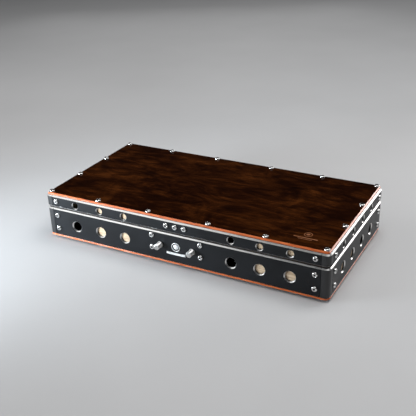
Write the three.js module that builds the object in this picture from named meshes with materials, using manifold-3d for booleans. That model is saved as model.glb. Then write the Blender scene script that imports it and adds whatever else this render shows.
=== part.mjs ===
// A pedalboard in a flat carrying case. The base is a wooden panel with four drilled plates on corner
// posts, and holds the pedal deck. The lid is the same with lower plates, and swings on two hinges at
// the back. Two round pins in the front lock it when they are pushed in through the lid's striker.
// Units are millimetres: +X to the right, +Y to the back, +Z up, standing on its feet at Z = 0.
import * as THREE from 'three';
import { mergeVertices } from 'three/addons/utils/BufferGeometryUtils.js';
import Module from 'manifold-3d';

const wasm = await Module();
wasm.setup();

// Case
const caseWidth = 600;
const caseDepth = 305;
const cornerRadius = 10;
const topPanelRadius = 4;
const footHeight = 4.5;
const gap = 0.3; // air between two pieces that rest on each other

// Heights above the underside of the bottom panel
const panelThickness = 4;
const basePlateLow = panelThickness + gap;
const basePlateTop = 62.3;
const sealLow = 62.5;
const sealHigh = 65.2;
const sealInset = 9; // from the case's outline to the seal's inner edge
const lidPlateLow = 65.5;
const lidPlateTop = 90;
const topPanelLow = 90.3;

// Wall plates
const plateThickness = 4;
const plateEndInset = 15.8; // from the case's corner to the plate's end
const edgeChamfer = 3.1;
const footChamfer = 0.8;
const panelEdgeChamfer = 1.2;
const topPanelInset = 3;
const topPanelChamfer = 2.2;
const cableHoleRadius = 9.8;
const cableHoleChamfer = 1.6;
const cableHoleZ = 31.5;
const ventRadius = 6.2;
const ventChamfer = 1.3;
const ventZ = 77.2;
const frontHolesX = [114, 170.3, 228];
const backHolesX = [114, 228];
const sideHolesY = [27.4, 80];

// Corner posts and the blocks behind the plates
const armReach = 38;
const armThickness = 10;
const blockThickness = 12;
const leftBlockX = [-190, -95]; // behind the two inner holes on the left
const rightBlockX = [151, 246]; // behind the two outer holes on the right
const hingeBlockX = [135, 205];
const sideBlockY = [-110, -10];
const blockDepth = plateThickness + gap;

// Screws
const headRadius = 5.25;
const headHeight = 3.3;
const crownShare = 0.55; // of the head's radius, flat at the top
const shoulderShare = 0.88; // of the head's radius, a third of the way down
const shankRadius = 2.8;
const shankLength = 12;
const shankHoleRadius = 3.1;
const socketRadius = 2.3;
const socketDepth = 1.8;
const endScrewX = 274;
const endScrewsZ = [19.6, 48];

// Latch
const pinX = 34.5;
const pinZ = 36;
const pinRadius = 5.5;
const pinEase = 0.6;
const pinReach = 14; // from the front plate to the pin's face when it is out
const pinFlangeRadius = 7.5;
const pinFlangeThickness = 2;
const noseRadius = 4;
const noseChamfer = 0.8;
const pinTravel = 8;
const housingWidth = 120;
const housingLow = 20;
const housingHigh = 60;
const housingThickness = 14;
const latchScrewX = 51.8;
const latchScrewsZ = [27.6, 53.1];
const strikerWidth = 90;
const strikerThickness = 3;
const strikerLow = 26;
const strikerHigh = 88;
const strikerFaceDepth = 21.8; // from the front plate's face to the striker's
const strikerHoleRadius = 4.7;
const strikerBlockWidth = 60;
const strikerBlockLow = 68;
const strikerScrewsX = [-19.1, 0, 19.1];
const strikerScrewZ = 79.4;

// Hinges
const hingeX = 170;
const hingeWidth = 60;
const hingeAxisZ = 64;
const barrelRadius = 4.5;
const barrelBore = 2.4;
const hingePinRadius = 2;
const hingePinHeadRadius = 3.4;
const hingePinHeadLength = 1.4;
const leafThickness = 2;
const leafGap = 0.25;
const leafReach = 24;
const leafClearance = 5.2;
const middleKnuckle = 20;
const webReach = 2.6; // how near the axis a leaf's web comes
const hingeAxisOut = 5; // behind the back plates

// Pedal deck
const railCount = 4;
const railLength = 516;
const railWidth = 44;
const railPitch = 62;
const railThickness = 6;
const railTop = 21.3;
const railMiddleY = 8;
const bearerX = 190;
const bearerWidth = 24;
const bearerLength = 234;
const deckChamfer = 1;

// Feet
const footRadius = 12;
const footChamferSize = 1.5;
const footX = 262;
const footY = 118;

const halfWidth = caseWidth / 2;
const halfDepth = caseDepth / 2;
const frontReach = halfDepth + pinReach;
const backReach = halfDepth + hingeAxisOut + barrelRadius;
const caseShiftY = (frontReach - backReach) / 2; // puts the origin midway between front and back
const roundSegments = 20;
const smallSegments = 12;
const ventSegments = 14;
const overshoot = 1; // how far a cutting tool runs past what it cuts

const finishes = {
  walnut: { color: 0x2c130a, roughness: 0.25, metalness: 0 },
  blackPlate: { color: 0x16171a, roughness: 0.35, metalness: 0.6 },
  blackPost: { color: 0x0e0e10, roughness: 0.4, metalness: 0.3 },
  birch: { color: 0xd8c0a0, roughness: 0.6, metalness: 0 },
  stainless: { color: 0xc4c6c8, roughness: 0.28, metalness: 1 },
  chrome: { color: 0xd8dadd, roughness: 0.12, metalness: 1 },
  zincSteel: { color: 0x9b9da0, roughness: 0.4, metalness: 1 },
  rubber: { color: 0x141414, roughness: 0.9, metalness: 0 },
  seal: { color: 0x2b1d16, roughness: 0.85, metalness: 0 },
};

// A closed mesh as a solid that can be joined and cut.
function solidOf(geometry) {
  const bare = geometry.clone();
  bare.deleteAttribute('normal');
  bare.deleteAttribute('uv');
  const merged = mergeVertices(bare, 1e-4);
  const corners = merged.index.array;
  const kept = [];
  for (let i = 0; i < corners.length; i += 3) {
    const [a, b, c] = corners.slice(i, i + 3);
    if (a !== b && b !== c && c !== a) {
      kept.push(a, b, c);
    }
  }
  const vertProperties = new Float32Array(merged.attributes.position.array);
  const triVerts = new Uint32Array(kept);
  return new wasm.Manifold(new wasm.Mesh({ numProp: 3, vertProperties, triVerts }));
}

// A solid back as a mesh's geometry.
function geometryOf(solid) {
  const mesh = solid.getMesh();
  const geometry = new THREE.BufferGeometry();
  geometry.setAttribute('position', new THREE.BufferAttribute(mesh.vertProperties, 3));
  geometry.setIndex(new THREE.BufferAttribute(mesh.triVerts, 1));
  return geometry;
}

function cut(solid, tools) {
  return tools.reduce((rest, tool) => rest.subtract(solidOf(tool)), solid);
}

function pieceOf(name, finish, solid) {
  const material = new THREE.MeshStandardMaterial({ ...finishes[finish], flatShading: true });
  const mesh = new THREE.Mesh(geometryOf(solid), material);
  mesh.name = name;
  return mesh;
}

// A box between two corners.
function boxBetween(low, high) {
  const size = high.map((value, i) => value - low[i]);
  const middle = high.map((value, i) => (value + low[i]) / 2);
  return new THREE.BoxGeometry(...size).translate(...middle);
}

// A round tool or piece about the Y axis, from [radius, distance along Y] pairs.
function turned(profile, segments = roundSegments) {
  return new THREE.LatheGeometry(profile.map((pair) => new THREE.Vector2(...pair)), segments);
}

// A round hole along Y from the outer face of a plate, with a chamfered rim.
function rimmedHole(radius, chamfer, segments = roundSegments) {
  return turned([
    [0, -overshoot],
    [radius + chamfer + overshoot, -overshoot],
    [radius, chamfer],
    [radius, plateThickness + overshoot],
    [0, plateThickness + overshoot],
  ], segments);
}

// A plain round hole along Y.
function plainHole(radius, from, to, segments = smallSegments) {
  return turned([[0, from], [radius, from], [radius, to], [0, to]], segments);
}

// A section drawn in thickness (x) and height (y), run along X from -length/2 to length/2.
function runAlongX(shape, length) {
  const geometry = new THREE.ExtrudeGeometry(shape, { depth: length, bevelEnabled: false });
  const toRow = new THREE.Matrix4().makeBasis(
    new THREE.Vector3(0, 1, 0),
    new THREE.Vector3(0, 0, 1),
    new THREE.Vector3(1, 0, 0),
  );
  return geometry.applyMatrix4(toRow).translate(-length / 2, 0, 0);
}

function polygon(points) {
  return new THREE.Shape(points.map((pair) => new THREE.Vector2(...pair)));
}

// A wall plate: outer face at Y = 0, its inside towards +Y, lower edge at Z = low.
function plateSolid(length, low, high, lowChamfer, highChamfer, tools) {
  const section = polygon([
    [lowChamfer, low],
    [plateThickness, low],
    [plateThickness, high],
    [highChamfer, high],
    [0, high - highChamfer],
    [0, low + lowChamfer],
  ]);
  return cut(solidOf(runAlongX(section, length)), tools);
}

// Rounded rectangle, centred.
function roundedRectangle(width, depth, radius) {
  const shape = new THREE.Shape();
  const x = width / 2 - radius;
  const y = depth / 2 - radius;
  shape.absarc(x, -y, radius, -Math.PI / 2, 0);
  shape.absarc(x, y, radius, 0, Math.PI / 2);
  shape.absarc(-x, y, radius, Math.PI / 2, Math.PI);
  shape.absarc(-x, -y, radius, Math.PI, 1.5 * Math.PI);
  shape.closePath();
  return shape;
}

// A flat slab from Z = 0 up, with every edge chamfered.
function slabSolid(width, depth, thickness, radius, chamfer) {
  const geometry = new THREE.ExtrudeGeometry(
    roundedRectangle(width - 2 * chamfer, depth - 2 * chamfer, radius - chamfer),
    {
      depth: thickness - 2 * chamfer,
      bevelThickness: chamfer,
      bevelSize: chamfer,
      bevelSegments: 1,
      curveSegments: 5,
    },
  );
  return solidOf(geometry.translate(0, 0, chamfer));
}

function bottomPanel() {
  const slab = slabSolid(caseWidth, caseDepth, panelThickness, cornerRadius, panelEdgeChamfer);
  return pieceOf('bottom_panel', 'walnut', slab);
}

// The top panel's chamfer is on its upper edge only.
function topPanel() {
  const width = caseWidth - 2 * topPanelInset;
  const depth = caseDepth - 2 * topPanelInset;
  const spare = topPanelChamfer + overshoot;
  const slab = slabSolid(width, depth, panelThickness + spare, topPanelRadius, topPanelChamfer);
  const under = boxBetween([-halfWidth, -halfDepth, -overshoot], [halfWidth, halfDepth, spare]);
  const panel = pieceOf('lid_top_panel', 'walnut', cut(slab, [under]));
  panel.position.z = topPanelLow - spare;
  return panel;
}

// The four walls, by how far each is turned from the front one.
const walls = {
  front: { turn: 0, reach: halfDepth, length: caseWidth - 2 * plateEndInset },
  right: { turn: Math.PI / 2, reach: halfWidth, length: caseDepth - 2 * plateEndInset },
  back: { turn: Math.PI, reach: halfDepth, length: caseWidth - 2 * plateEndInset },
  left: { turn: -Math.PI / 2, reach: halfWidth, length: caseDepth - 2 * plateEndInset },
};

// Puts what was made for a wall's own frame, outer face at Y = 0, on that wall.
function onWall(side, ...pieces) {
  const wall = new THREE.Group();
  wall.rotation.z = walls[side].turn;
  const inner = new THREE.Group();
  inner.position.y = -walls[side].reach;
  inner.add(...pieces);
  wall.add(inner);
  return wall;
}

const holesAlong = {
  front: frontHolesX,
  back: backHolesX,
  left: sideHolesY,
  right: sideHolesY,
};

function bothSides(distances) {
  return distances.flatMap((distance) => [-distance, distance]);
}

function basePlate(side) {
  const tools = bothSides(holesAlong[side]).map(
    (x) => rimmedHole(cableHoleRadius, cableHoleChamfer).translate(x, 0, cableHoleZ),
  );
  if (side === 'front') {
    for (const z of endScrewsZ) {
      for (const x of bothSides([endScrewX])) {
        tools.push(plainHole(shankHoleRadius, -overshoot, plateThickness + overshoot).translate(x, 0, z));
      }
    }
    for (const z of latchScrewsZ) {
      for (const x of bothSides([latchScrewX])) {
        tools.push(plainHole(shankHoleRadius, -overshoot, plateThickness + overshoot).translate(x, 0, z));
      }
    }
    for (const x of bothSides([pinX])) {
      tools.push(rimmedHole(pinRadius + gap, footChamfer).translate(x, 0, pinZ));
    }
  }
  const { length } = walls[side];
  const solid = plateSolid(length, basePlateLow, basePlateTop, footChamfer, edgeChamfer, tools);
  return onWall(side, pieceOf(`base_${side}_plate`, 'blackPlate', solid));
}

function lidPlate(side) {
  const tools = bothSides(holesAlong[side]).map(
    (x) => rimmedHole(ventRadius, ventChamfer, ventSegments).translate(x, 0, ventZ),
  );
  if (side === 'front') {
    for (const x of strikerScrewsX) {
      const hole = plainHole(shankHoleRadius, -overshoot, plateThickness + overshoot);
      tools.push(hole.translate(x, 0, strikerScrewZ));
    }
  }
  const { length } = walls[side];
  const solid = plateSolid(length, lidPlateLow, lidPlateTop, edgeChamfer, edgeChamfer, tools);
  return onWall(side, pieceOf(`lid_${side}_plate`, 'blackPlate', solid));
}

// A corner post seen from above: its corner of the case at the origin, its arms along +X and +Y.
function postOutline() {
  const lip = plateEndInset - gap;
  const inner = blockDepth + armThickness;
  const shape = new THREE.Shape();
  shape.absarc(cornerRadius, cornerRadius, cornerRadius, Math.PI, 1.5 * Math.PI);
  shape.lineTo(lip, 0);
  shape.lineTo(lip, blockDepth);
  shape.lineTo(armReach, blockDepth);
  shape.lineTo(armReach, inner);
  shape.lineTo(inner, inner);
  shape.lineTo(inner, armReach);
  shape.lineTo(blockDepth, armReach);
  shape.lineTo(blockDepth, lip);
  shape.lineTo(0, lip);
  shape.closePath();
  return shape;
}

const corners = {
  front_left: { turn: 0, x: -halfWidth, y: -halfDepth },
  front_right: { turn: Math.PI / 2, x: halfWidth, y: -halfDepth },
  back_right: { turn: Math.PI, x: halfWidth, y: halfDepth },
  back_left: { turn: -Math.PI / 2, x: -halfWidth, y: halfDepth },
};

// One post, with tools given in the case's frame.
function cornerPost(name, corner, low, high, tools = []) {
  const { turn, x, y } = corners[corner];
  const geometry = new THREE.ExtrudeGeometry(postOutline(), {
    depth: high - low,
    bevelEnabled: false,
    curveSegments: 6,
  });
  geometry.rotateZ(turn).translate(x, y, low);
  return pieceOf(name, 'blackPost', cut(solidOf(geometry), tools));
}

function basePost(corner) {
  const tools = [];
  if (corner.startsWith('front')) {
    const x = Math.sign(corners[corner].x) * endScrewX;
    for (const z of endScrewsZ) {
      const depth = blockDepth + armThickness + overshoot;
      tools.push(plainHole(shankHoleRadius, 0, depth).translate(x, -halfDepth, z));
    }
  }
  return cornerPost(`base_post_${corner}`, corner, basePlateLow, basePlateTop, tools);
}

function lidPost(corner) {
  return cornerPost(`lid_post_${corner}`, corner, lidPlateLow, lidPlateTop);
}

// A wooden block behind a plate, in its wall's frame.
function blockBehind(name, side, from, to, low, high) {
  const solid = solidOf(boxBetween([from, blockDepth, low], [to, blockDepth + blockThickness, high]));
  return onWall(side, pieceOf(name, 'birch', solid));
}

function baseBlocks() {
  const low = basePlateLow;
  const high = basePlateTop;
  const [hingeNear, hingeFar] = hingeBlockX;
  const [sideFrom, sideTo] = sideBlockY;
  return [
    blockBehind('base_block_front_left', 'front', ...leftBlockX, low, high),
    blockBehind('base_block_front_right', 'front', ...rightBlockX, low, high),
    blockBehind('base_hinge_block_left', 'back', hingeNear, hingeFar, low, high),
    blockBehind('base_hinge_block_right', 'back', -hingeFar, -hingeNear, low, high),
    blockBehind('base_block_side_left', 'left', -sideTo, -sideFrom, low, high),
    blockBehind('base_block_side_right', 'right', sideFrom, sideTo, low, high),
  ];
}

function lidBlocks() {
  const low = lidPlateLow + gap;
  const high = lidPlateTop;
  const [hingeNear, hingeFar] = hingeBlockX;
  return [
    blockBehind('lid_block_front_left', 'front', ...leftBlockX, low, high),
    blockBehind('lid_block_front_right', 'front', ...rightBlockX, low, high),
    blockBehind('lid_hinge_block_left', 'back', hingeNear, hingeFar, low, high),
    blockBehind('lid_hinge_block_right', 'back', -hingeFar, -hingeNear, low, high),
  ];
}

// The soft strip between lid and base.
function rimSeal() {
  const outer = roundedRectangle(
    caseWidth - 2 * topPanelInset,
    caseDepth - 2 * topPanelInset,
    cornerRadius - topPanelInset,
  );
  const width = caseWidth - 2 * sealInset;
  const depth = caseDepth - 2 * sealInset;
  outer.holes.push(roundedRectangle(width, depth, cornerRadius - sealInset));
  const geometry = new THREE.ExtrudeGeometry(outer, {
    depth: sealHigh - sealLow,
    bevelEnabled: false,
    curveSegments: 4,
  });
  return pieceOf('rim_seal', 'seal', solidOf(geometry.translate(0, 0, sealLow)));
}

// A button-head screw in a wall's frame: its head stands out of the plate at Y = 0.
function buttonScrew(name, x, z) {
  const crown = headHeight + gap;
  const body = turned([
    [0, -crown],
    [headRadius * crownShare, -crown],
    [headRadius * shoulderShare, -crown + headHeight / 3],
    [headRadius, -crown + (2 * headHeight) / 3],
    [headRadius, -gap],
    [shankRadius, -gap],
    [shankRadius, shankLength],
    [0, shankLength],
  ], smallSegments);
  const socket = new THREE.CylinderGeometry(socketRadius, socketRadius, 2 * socketDepth, 6);
  const screw = pieceOf(name, 'stainless', cut(solidOf(body), [socket.translate(0, -crown, 0)]));
  screw.position.set(x, 0, z);
  return screw;
}

function baseScrews() {
  const screws = [];
  for (const [side, sign] of [['left', -1], ['right', 1]]) {
    for (const [level, index] of [['low', 0], ['high', 1]]) {
      screws.push(buttonScrew(`end_screw_${side}_${level}`, sign * endScrewX, endScrewsZ[index]));
      screws.push(buttonScrew(`latch_screw_${side}_${level}`, sign * latchScrewX, latchScrewsZ[index]));
    }
  }
  return onWall('front', ...screws);
}

// The block behind the front plate that guides both latch pins.
function latchHousing() {
  const back = blockDepth + housingThickness;
  const half = housingWidth / 2;
  const shoulder = blockDepth + gap + pinFlangeThickness + pinTravel + gap;
  const tools = [];
  for (const x of bothSides([pinX])) {
    tools.push(turned([
      [0, 0],
      [pinFlangeRadius + 2 * gap, 0],
      [pinFlangeRadius + 2 * gap, shoulder],
      [noseRadius + gap, shoulder],
      [noseRadius + gap, back + overshoot],
      [0, back + overshoot],
    ]).translate(x, 0, pinZ));
  }
  for (const z of latchScrewsZ) {
    for (const x of bothSides([latchScrewX])) {
      tools.push(plainHole(shankHoleRadius, 0, shankLength + gap).translate(x, 0, z));
    }
  }
  const block = solidOf(boxBetween([-half, blockDepth, housingLow], [half, back, housingHigh]));
  return onWall('front', pieceOf('latch_housing', 'blackPost', cut(block, tools)));
}

// One latch pin, pulled out.
function latchPin(name, x) {
  const flangeFront = blockDepth + gap;
  const flangeBack = flangeFront + pinFlangeThickness;
  const tip = blockDepth + housingThickness - gap;
  const solid = solidOf(turned([
    [0, -pinReach],
    [pinRadius - pinEase, -pinReach],
    [pinRadius, -pinReach + pinEase],
    [pinRadius, flangeFront],
    [pinFlangeRadius, flangeFront],
    [pinFlangeRadius, flangeBack],
    [noseRadius, flangeBack],
    [noseRadius, tip - noseChamfer],
    [noseRadius - noseChamfer, tip],
    [0, tip],
  ]));
  const pin = pieceOf(name, 'chrome', solid);
  pin.position.set(x, 0, pinZ);
  return onWall('front', pin);
}

// The bracket in the lid that hangs behind the housing and takes the pins' noses.
function striker() {
  const back = strikerFaceDepth + strikerThickness;
  const half = strikerWidth / 2;
  const blockHalf = strikerBlockWidth / 2;
  const tongue = solidOf(boxBetween([-half, strikerFaceDepth, strikerLow], [half, back, strikerHigh]));
  const blockLow = [-blockHalf, blockDepth, strikerBlockLow];
  const block = solidOf(boxBetween(blockLow, [blockHalf, back, strikerHigh]));
  const tools = bothSides([pinX]).map((x) => {
    const hole = plainHole(strikerHoleRadius, strikerFaceDepth - overshoot, back + overshoot, roundSegments);
    return hole.translate(x, 0, pinZ);
  });
  for (const x of strikerScrewsX) {
    tools.push(plainHole(shankHoleRadius, 0, shankLength + gap).translate(x, 0, strikerScrewZ));
  }
  return onWall('front', pieceOf('striker_bracket', 'zincSteel', cut(tongue.add(block), tools)));
}

function strikerScrews() {
  const names = ['left', 'middle', 'right'];
  const screws = strikerScrewsX.map((x, i) => buttonScrew(`striker_screw_${names[i]}`, x, strikerScrewZ));
  return onWall('front', ...screws);
}

// A tube along X about the hinge axis, between two distances from the hinge's middle.
function knuckle(from, to) {
  const tube = solidOf(new THREE.CylinderGeometry(barrelRadius, barrelRadius, to - from, roundSegments));
  const bore = new THREE.CylinderGeometry(barrelBore, barrelBore, to - from + 2 * overshoot, smallSegments);
  return { tube, bore, from, to };
}

// One leaf of a hinge, in the back wall's frame: rises to the lid (up = 1) or falls to the base (-1).
function hingeLeaf(name, middle, up, spans) {
  const half = hingeWidth / 2;
  const outer = -leafGap - leafThickness;
  const near = hingeAxisZ + up * leafClearance;
  const far = hingeAxisZ + up * leafReach;
  const webEnd = hingeAxisZ + up * webReach;
  let solid = solidOf(boxBetween([-half, outer, Math.min(near, far)], [half, -leafGap, Math.max(near, far)]));
  const bores = [];
  for (const [from, to] of spans) {
    const { tube, bore } = knuckle(from, to);
    const shift = [(from + to) / 2, -hingeAxisOut, hingeAxisZ];
    const lay = new THREE.Matrix4().makeRotationZ(Math.PI / 2).setPosition(...shift);
    solid = solid.add(tube.transform(lay.toArray()));
    bores.push(bore.clone().applyMatrix4(lay));
    const low = Math.min(webEnd, near + up * overshoot);
    const high = Math.max(webEnd, near + up * overshoot);
    solid = solid.add(solidOf(boxBetween([from, outer, low], [to, -leafGap, high])));
  }
  const leaf = pieceOf(name, 'zincSteel', cut(solid, bores));
  leaf.position.x = middle;
  return onWall('back', leaf);
}

function hingePin(name, middle) {
  const end = hingeWidth / 2 + gap;
  const head = end + hingePinHeadLength;
  const solid = solidOf(turned([
    [0, -head],
    [hingePinHeadRadius - pinEase, -head],
    [hingePinHeadRadius, -head + pinEase],
    [hingePinHeadRadius, -end],
    [hingePinRadius, -end],
    [hingePinRadius, end],
    [hingePinHeadRadius, end],
    [hingePinHeadRadius, head - pinEase],
    [hingePinHeadRadius - pinEase, head],
    [0, head],
  ], smallSegments));
  const pin = pieceOf(name, 'stainless', solid);
  pin.rotation.z = Math.PI / 2;
  pin.position.set(middle, -hingeAxisOut, hingeAxisZ);
  return onWall('back', pin);
}

const knuckleEnd = hingeWidth / 2;
const knuckleMiddle = middleKnuckle / 2;
const baseSpans = [[-knuckleEnd, -knuckleMiddle - gap], [knuckleMiddle + gap, knuckleEnd]];
const lidSpans = [[-knuckleMiddle, knuckleMiddle]];

// A rail or bearer of the pedal deck: a bar along X with its long edges chamfered.
function deckBar(name, length, width, low, high) {
  const half = width / 2;
  const section = polygon([
    [-half + deckChamfer, low],
    [half - deckChamfer, low],
    [half, low + deckChamfer],
    [half, high - deckChamfer],
    [half - deckChamfer, high],
    [-half + deckChamfer, high],
    [-half, high - deckChamfer],
    [-half, low + deckChamfer],
  ]);
  return pieceOf(name, 'birch', solidOf(runAlongX(section, length)));
}

function pedalDeck() {
  const deck = new THREE.Group();
  const railLow = railTop - railThickness;
  for (let i = 0; i < railCount; i += 1) {
    const rail = deckBar(`deck_rail_${i + 1}`, railLength, railWidth, railLow, railTop);
    rail.position.y = railMiddleY + (i - (railCount - 1) / 2) * railPitch;
    deck.add(rail);
  }
  for (const [side, sign] of [['left', -1], ['right', 1]]) {
    const bearer = deckBar(`deck_bearer_${side}`, bearerLength, bearerWidth, basePlateLow, railLow - gap);
    bearer.rotation.z = Math.PI / 2;
    bearer.position.set(sign * bearerX, railMiddleY, 0);
    deck.add(bearer);
  }
  return deck;
}

function foot(corner) {
  const top = footHeight - gap;
  const solid = solidOf(turned([
    [0, 0],
    [footRadius - footChamferSize, 0],
    [footRadius, footChamferSize],
    [footRadius, top],
    [0, top],
  ]));
  const piece = pieceOf(`foot_${corner}`, 'rubber', solid);
  piece.rotation.x = Math.PI / 2;
  piece.position.set(Math.sign(corners[corner].x) * footX, Math.sign(corners[corner].y) * footY, -footHeight);
  return piece;
}

const sides = Object.keys(walls);
const cornerNames = Object.keys(corners);

const base = new THREE.Group();
base.add(bottomPanel(), ...sides.map(basePlate), ...cornerNames.map(basePost), ...baseBlocks());
base.add(rimSeal(), latchHousing(), baseScrews(), pedalDeck(), ...cornerNames.map(foot));

const lid = new THREE.Group();
lid.add(topPanel(), ...sides.map(lidPlate), ...cornerNames.map(lidPost), ...lidBlocks());
lid.add(striker(), strikerScrews());

// The back wall's own X runs the other way, so its left hinge has a positive X there.
for (const [side, middle] of [['left', hingeX], ['right', -hingeX]]) {
  base.add(hingeLeaf(`hinge_${side}_base_leaf`, middle, -1, baseSpans));
  base.add(hingePin(`hinge_${side}_pin`, middle));
  lid.add(hingeLeaf(`hinge_${side}_lid_leaf`, middle, 1, lidSpans));
}

const pins = new THREE.Group();
pins.add(latchPin('latch_pin_left', -pinX), latchPin('latch_pin_right', pinX));

const pedalboard = new THREE.Group();
pedalboard.add(base, lid, pins);
pedalboard.position.set(0, caseShiftY, footHeight);

export default pedalboard;
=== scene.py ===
import math

import bmesh
import bpy
import numpy as np
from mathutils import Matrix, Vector


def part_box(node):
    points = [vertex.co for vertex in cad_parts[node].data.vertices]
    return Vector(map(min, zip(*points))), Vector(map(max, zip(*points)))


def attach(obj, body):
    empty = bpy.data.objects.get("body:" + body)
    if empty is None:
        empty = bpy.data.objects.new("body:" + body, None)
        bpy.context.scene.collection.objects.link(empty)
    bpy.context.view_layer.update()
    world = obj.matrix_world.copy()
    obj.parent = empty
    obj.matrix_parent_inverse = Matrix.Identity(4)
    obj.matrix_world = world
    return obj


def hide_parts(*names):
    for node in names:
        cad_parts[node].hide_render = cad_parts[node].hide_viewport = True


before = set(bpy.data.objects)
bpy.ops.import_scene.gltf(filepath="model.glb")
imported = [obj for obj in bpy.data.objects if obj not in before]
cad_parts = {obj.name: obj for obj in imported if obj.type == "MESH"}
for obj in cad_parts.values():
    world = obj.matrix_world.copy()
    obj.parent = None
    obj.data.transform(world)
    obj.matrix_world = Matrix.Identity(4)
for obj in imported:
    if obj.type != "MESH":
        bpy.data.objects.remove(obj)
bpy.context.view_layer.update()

# A pedalboard in a flat case: lacquered walnut panels over black drilled walls with bare chamfers.
# The script works in metres. Sizes in the dictionaries are in millimetres and pass through mm.
mm = 0.001
print("stage: frame loaded,", len(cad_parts), "nodes")


# Lowest corner, highest corner and size of a CAD node.
def nodeBox(node):
    lowest, highest = (np.array(corner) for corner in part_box(node))
    return lowest, highest, highest - lowest


panelLow, panelHigh, panelSize = nodeBox("bottom_panel")
halfWidth = panelHigh[0]
halfDepth = panelSize[1] / 2
middleY = (panelHigh[1] + panelLow[1]) / 2
floorUnderCase = panelLow[2]           # the bottom panel's underside
lidTop = nodeBox("lid_top_panel")[1][2]


# World points of a wall's own points: x along the wall, y inwards from its outer face, z up.
# front (x, -D + y), right (W - y, x), back (-x, D - y), left (-W + y, -x), all about the case's middle.
def onWall(side, points):
    x, y, z = points[..., 0], points[..., 1], points[..., 2]
    placed = {
        "front": (x, middleY - halfDepth + y),
        "right": (halfWidth - y, middleY + x),
        "back": (-x, middleY + halfDepth - y),
        "left": (-halfWidth + y, middleY - x),
    }[side]
    return np.stack([*placed, z], axis=-1)


# Quads of a (rows, columns) grid, wrapped round in either direction if asked.
def gridFaces(rows, columns, wrapRows=False, wrapColumns=False):
    i = np.arange(rows if wrapRows else rows - 1)[:, None]
    j = np.arange(columns if wrapColumns else columns - 1)[None, :]
    nextI = (i + 1) % rows
    nextJ = (j + 1) % columns
    corners = ((i, j), (nextI, j), (nextI, nextJ), (i, nextJ))
    return np.stack([row * columns + column for row, column in corners], axis=-1).reshape(-1, 4)


# One part of a mesh: its points, its faces, and which of the piece's materials they wear.
def patch(points, faces, material=0):
    return np.asarray(points, float).reshape(-1, 3), np.asarray(faces), material


def gridPatch(points, material=0, wrapRows=False, wrapColumns=False):
    rows, columns = points.shape[:2]
    return patch(points, gridFaces(rows, columns, wrapRows, wrapColumns), material)


# The same patches with their points put elsewhere.
def carried(patches, move):
    return [(move(points), faces, material) for points, faces, material in patches]


# A piece out of patches: shared points merged, outward normals, sharp where faces meet at an angle.
def buildPiece(name, patches, materials, sharpDegrees=32, mergeAt=2e-6):
    points = np.concatenate([part[0] for part in patches])
    faces, slots, start = [], [], 0
    for part in patches:
        faces += [[start + int(k) for k in face] for face in part[1]]
        slots += [part[2]] * len(part[1])
        start += len(part[0])
    mesh = bpy.data.meshes.new(name)
    mesh.from_pydata(points.tolist(), [], faces)
    mesh.polygons.foreach_set("material_index", np.array(slots, np.int32))
    for material in materials:
        mesh.materials.append(material)
    shell = bmesh.new()
    shell.from_mesh(mesh)
    bmesh.ops.remove_doubles(shell, verts=shell.verts, dist=mergeAt)
    bmesh.ops.dissolve_degenerate(shell, edges=shell.edges, dist=1e-7)
    bmesh.ops.recalc_face_normals(shell, faces=shell.faces)
    shell.to_mesh(mesh)
    shell.free()
    mesh.polygons.foreach_set("use_smooth", np.ones(len(mesh.polygons), bool))
    mesh.set_sharp_from_angle(angle=math.radians(sharpDegrees))
    piece = bpy.data.objects.new(name, mesh)
    bpy.context.scene.collection.objects.link(piece)
    return piece


# Puts a finished piece on its body and hides the CAD nodes that it stands for.
def settle(piece, body, slotName, *nodes):
    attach(piece, body)
    if nodes:
        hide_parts(*nodes)
    return piece


# A surface of revolution: point(t, k) = (r_k cos t, r_k sin t, h_k).
def spun(profile, segments):
    radius, height = np.array(profile, float).T
    t = np.linspace(0, 2 * math.pi, segments, endpoint=False)
    return np.stack([
        np.outer(np.cos(t), radius),
        np.outer(np.sin(t), radius),
        np.broadcast_to(height, (segments, len(height))),
    ], axis=-1)


# Turns points made about +Z so that +Z lies along an axis, then moves them to a place.
def laid(points, axis, place):
    turn = Vector((0, 0, 1)).rotation_difference(Vector(axis)).to_matrix()
    return points @ np.array(turn).T + np.array(place)


# A turned part: a profile of (radius, height) in millimetres, spun about an axis through a place.
def turnedPatch(profile, axis, place, segments, material=0):
    points = laid(spun(np.array(profile) * mm, segments).reshape(-1, 3), axis, place)
    return patch(points, gridFaces(segments, len(profile), wrapRows=True), material)


# A bar with closed ends, out of a (stations, corners) grid of points.
def barPatches(points):
    end = [list(range(points.shape[1]))]
    return [gridPatch(points, wrapColumns=True), patch(points[0], end), patch(points[-1], end)]


# Points (x, y) round a rounded rectangle, anticlockwise, and the outward normals there.
# corner k: p(a) = c_k + r (cos a, sin a), a from 90 k - 90 to 90 k degrees; n(a) = (cos a, sin a).
def roundedOutline(width, depth, radius, perCorner):
    a = np.linspace(0, math.pi / 2, perCorner + 1)
    angles = np.concatenate([a - math.pi / 2, a, a + math.pi / 2, a + math.pi])
    signs = np.repeat([[1, -1], [1, 1], [-1, 1], [-1, -1]], perCorner + 1, axis=0)
    normals = np.stack([np.cos(angles), np.sin(angles)], axis=-1)
    centres = signs * np.array([width / 2 - radius, depth / 2 - radius])
    return centres + radius * normals, normals


# Offsets of an outline: point(s, k) = p(s) - d_k n(s), at height z_k.
def offsetGrid(outline, normals, inset, height):
    flat = outline[:, None, :] - normals[:, None, :] * inset[None, :, None]
    return np.concatenate([flat, np.broadcast_to(height[None, :, None], flat.shape[:2] + (1,))], axis=-1)


innerRing = np.array([0.6, 0.6, 1])    # a slab's flat faces have a second ring, this share of the first


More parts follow.
